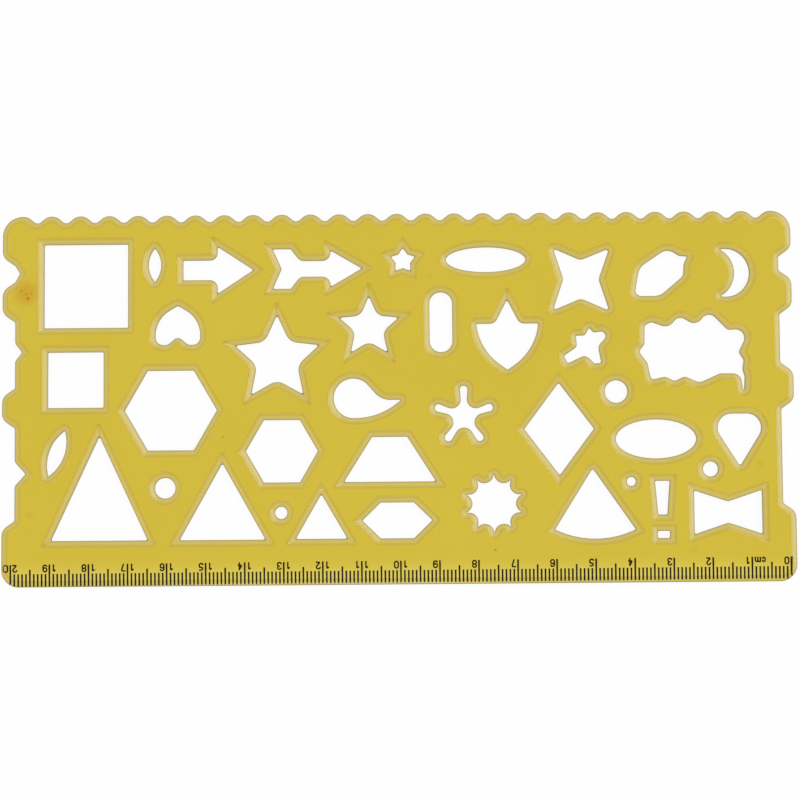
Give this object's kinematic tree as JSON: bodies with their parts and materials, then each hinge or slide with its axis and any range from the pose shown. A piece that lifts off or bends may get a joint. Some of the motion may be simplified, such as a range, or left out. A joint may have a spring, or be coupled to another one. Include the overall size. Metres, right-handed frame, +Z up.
{
  "type": "drawing stencil",
  "caption": "Flat translucent drawing stencil with bevelled shape cut-outs, a scalloped edge, stepped ends and a printed 20 cm ruler edge.",
  "frame": {"origin": "middle of the plate's underside", "axes": "+X along the ruler edge, +Y towards the scalloped edge, +Z up through the plate, out of its bevelled reading side"},
  "size_m": [0.2038, 0.0956, 0.0016],
  "materials": {
    "tinted_plastic": "gloss",
    "black_print": "matte"
  },
  "bodies": {
    "root": {"stencil_plate": "tinted_plastic", "millimetre_ticks": "black_print", "half_centimetre_ticks": "black_print", "centimetre_ticks": "black_print", "scale_numerals": "black_print", "unit_letters": "black_print"}
  },
  "joints": []
}
